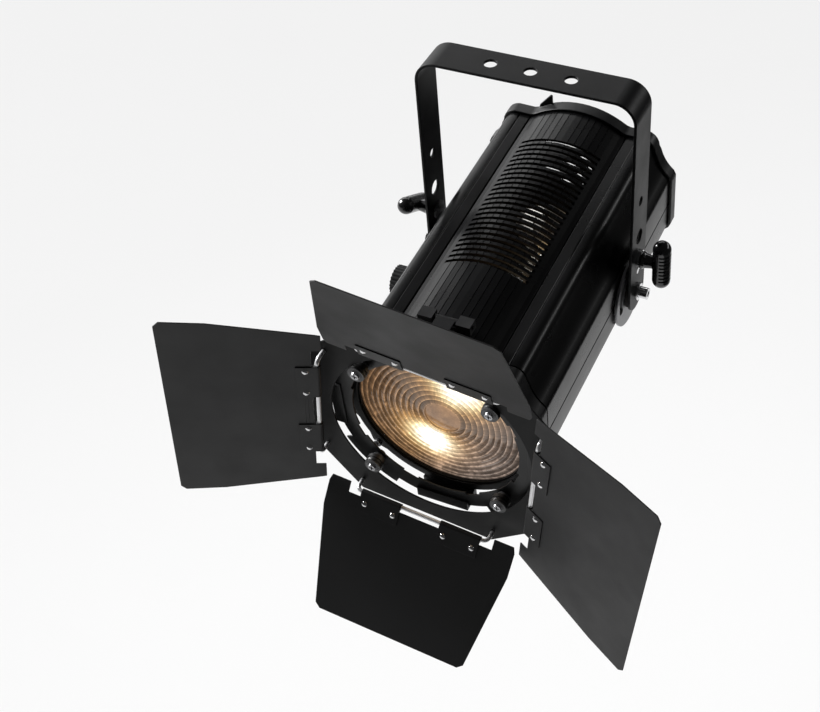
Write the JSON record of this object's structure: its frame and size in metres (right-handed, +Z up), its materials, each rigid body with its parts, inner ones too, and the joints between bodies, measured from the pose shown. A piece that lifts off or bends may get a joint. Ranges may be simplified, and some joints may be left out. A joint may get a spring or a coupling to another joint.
{
  "type": "fresnel spotlight",
  "caption": "Focusable fresnel stage and studio spotlight with a hanging yoke, tilt clamps and a rotating barndoor with hinged leaves",
  "frame": {"origin": "centre of the yoke bar's middle hole, on the bar's upper face", "axes": "+Z up through the yoke bar, -Y towards the beam, +X to the right of someone facing the lens, along the tilt axis"},
  "size_m": [0.4376, 0.4409, 0.4293],
  "materials": {
    "yoke_black": "satin",
    "case_black": "satin",
    "frame_black": "satin",
    "disc_grey": "satin",
    "bright_steel": "satin",
    "chrome_wire": "polished",
    "grip_black": "gloss",
    "knob_black": "matte",
    "friction_fibre": "matte",
    "lens_glass": "polished",
    "lamp_glass": "polished",
    "ceramic_white": "matte",
    "reflector_mirror": "polished",
    "tungsten": "matte",
    "carriage_steel": "satin",
    "rack_brass": "satin",
    "gland_rubber": "matte",
    "door_black": "satin"
  },
  "bodies": {
    "yoke": {"yoke": "yoke_black", "pivot_bushes": "bright_steel", "friction_pads": "friction_fibre", "clamp_shoes": "friction_fibre", "leg_bosses_and_stop_pins": "bright_steel"},
    "left_clamp": {"clamp_stem_left": "grip_black", "clamp_grip_left": "grip_black"},
    "right_clamp": {"clamp_stem_right": "grip_black", "clamp_grip_right": "grip_black"},
    "housing": {"case_top": "case_black", "case_side_left": "case_black", "case_side_right": "case_black", "case_bottom": "case_black", "rear_cap": "frame_black", "case_screws": "bright_steel", "front_frame": "frame_black", "lens": "lens_glass", "lens_retaining_ring": "frame_black", "tilt_disc_left": "disc_grey", "tilt_disc_right": "disc_grey", "disc_screws": "bright_steel", "pivot_bolts": "bright_steel", "carriage_rails": "bright_steel", "rail_supports": "carriage_steel", "focus_shaft_bush": "rack_brass", "terminal_block": "ceramic_white", "cable_gland": "gland_rubber", "accessory_channels": "frame_black", "accessory_ring": "door_black", "roller_screws": "bright_steel", "latch_bracket": "frame_black"},
    "top_latch": {"top_latch": "frame_black"},
    "carriage": {"lamp_carriage": "carriage_steel", "carriage_bushes": "carriage_steel", "focus_rack": "rack_brass", "reflector": "reflector_mirror", "lamp_socket": "ceramic_white", "lamp_base": "bright_steel", "lamp_envelope": "lamp_glass", "lamp_filament": "tungsten"},
    "focus_knob": {"focus_knob": "knob_black", "focus_pinion_shaft": "rack_brass"},
    "barndoor": {"barndoor_plate": "door_black", "hinge_rods": "chrome_wire"},
    "roller_upper_right": {"roller_upper_right": "knob_black"},
    "roller_upper_left": {"roller_upper_left": "knob_black"},
    "roller_lower_left": {"roller_lower_left": "knob_black"},
    "roller_lower_right": {"roller_lower_right": "knob_black"},
    "leaf_top": {"leaf_top": "door_black", "leaf_top_straps": "door_black", "leaf_top_rivets": "bright_steel"},
    "leaf_left": {"leaf_left": "door_black", "leaf_left_straps": "door_black", "leaf_left_rivets": "bright_steel"},
    "leaf_bottom": {"leaf_bottom": "door_black", "leaf_bottom_straps": "door_black", "leaf_bottom_rivets": "bright_steel"},
    "leaf_right": {"leaf_right": "door_black", "leaf_right_straps": "door_black", "leaf_right_rivets": "bright_steel"}
  },
  "joints": [
    {"name": "housing_tilt", "type": "hinge", "parent": "yoke", "child": "housing", "pos_m": [0, 0, -0.207], "axis": [1, 0, 0], "range_deg": [-48, 87]},
    {"name": "left_clamp_turn", "type": "hinge", "parent": "yoke", "child": "left_clamp", "pos_m": [-0.1, 0, -0.1694], "axis": [1, 0, 0], "range_deg": [-30, 330]},
    {"name": "right_clamp_turn", "type": "hinge", "parent": "yoke", "child": "right_clamp", "pos_m": [0.1, 0, -0.1694], "axis": [1, 0, 0], "range_deg": [-30, 330]},
    {"name": "carriage_slide", "type": "slide", "parent": "housing", "child": "carriage", "axis": [0, -0.9986, -0.0523], "range_m": [-0.045, 0.045]},
    {"name": "focus_knob_turn", "type": "hinge", "parent": "housing", "child": "focus_knob", "pos_m": [-0.098, -0.06833, -0.20257], "axis": [-1, 0, 0], "range_deg": [-216, 216]},
    {"name": "barndoor_turn", "type": "hinge", "parent": "housing", "child": "barndoor", "pos_m": [0, -0.22192, -0.21432], "axis": [0, -0.9986, -0.0523], "continuous": true},
    {"name": "top_latch_turn", "type": "hinge", "parent": "housing", "child": "top_latch", "pos_m": [0, -0.17726, -0.12066], "axis": [-1, 0, 0], "range_deg": [0, 70], "stiffness_Nm_per_rad": 0.06, "springref_deg": -11.46},
    {"name": "roller_upper_right_turn", "type": "hinge", "parent": "housing", "child": "roller_upper_right", "pos_m": [0.05855, -0.22399, -0.1558], "axis": [0, -0.9986, -0.0523], "continuous": true},
    {"name": "roller_upper_left_turn", "type": "hinge", "parent": "housing", "child": "roller_upper_left", "pos_m": [-0.05855, -0.22399, -0.1558], "axis": [0, -0.9986, -0.0523], "continuous": true},
    {"name": "roller_lower_left_turn", "type": "hinge", "parent": "housing", "child": "roller_lower_left", "pos_m": [-0.05855, -0.21786, -0.27274], "axis": [0, -0.9986, -0.0523], "continuous": true},
    {"name": "roller_lower_right_turn", "type": "hinge", "parent": "housing", "child": "roller_lower_right", "pos_m": [0.05855, -0.21786, -0.27274], "axis": [0, -0.9986, -0.0523], "continuous": true},
    {"name": "leaf_top_hinge", "type": "hinge", "parent": "barndoor", "child": "leaf_top", "pos_m": [0.0119, -0.23937, -0.12025], "axis": [0.9922, 0.0065, -0.1243], "range_deg": [-50, 115]},
    {"name": "leaf_left_hinge", "type": "hinge", "parent": "barndoor", "child": "leaf_left", "pos_m": [-0.09486, -0.23503, -0.2031], "axis": [-0.1245, 0.0519, -0.9909], "range_deg": [-108, 57]},
    {"name": "leaf_bottom_hinge", "type": "hinge", "parent": "barndoor", "child": "leaf_bottom", "pos_m": [-0.0119, -0.22944, -0.30971], "axis": [-0.9922, -0.0065, 0.1243], "range_deg": [-61, 104]},
    {"name": "leaf_right_hinge", "type": "hinge", "parent": "barndoor", "child": "leaf_right", "pos_m": [0.09486, -0.23378, -0.22686], "axis": [0.1245, -0.0519, 0.9909], "range_deg": [-109, 56]}
  ],
  "couplings": [
    {"joint": "focus_knob_turn", "follows": "carriage_slide", "rad_per_m": 83.333},
    {"joint": "roller_upper_right_turn", "follows": "barndoor_turn", "ratio": 12.514},
    {"joint": "roller_upper_left_turn", "follows": "barndoor_turn", "ratio": 12.514},
    {"joint": "roller_lower_left_turn", "follows": "barndoor_turn", "ratio": 12.514},
    {"joint": "roller_lower_right_turn", "follows": "barndoor_turn", "ratio": 12.514}
  ]
}
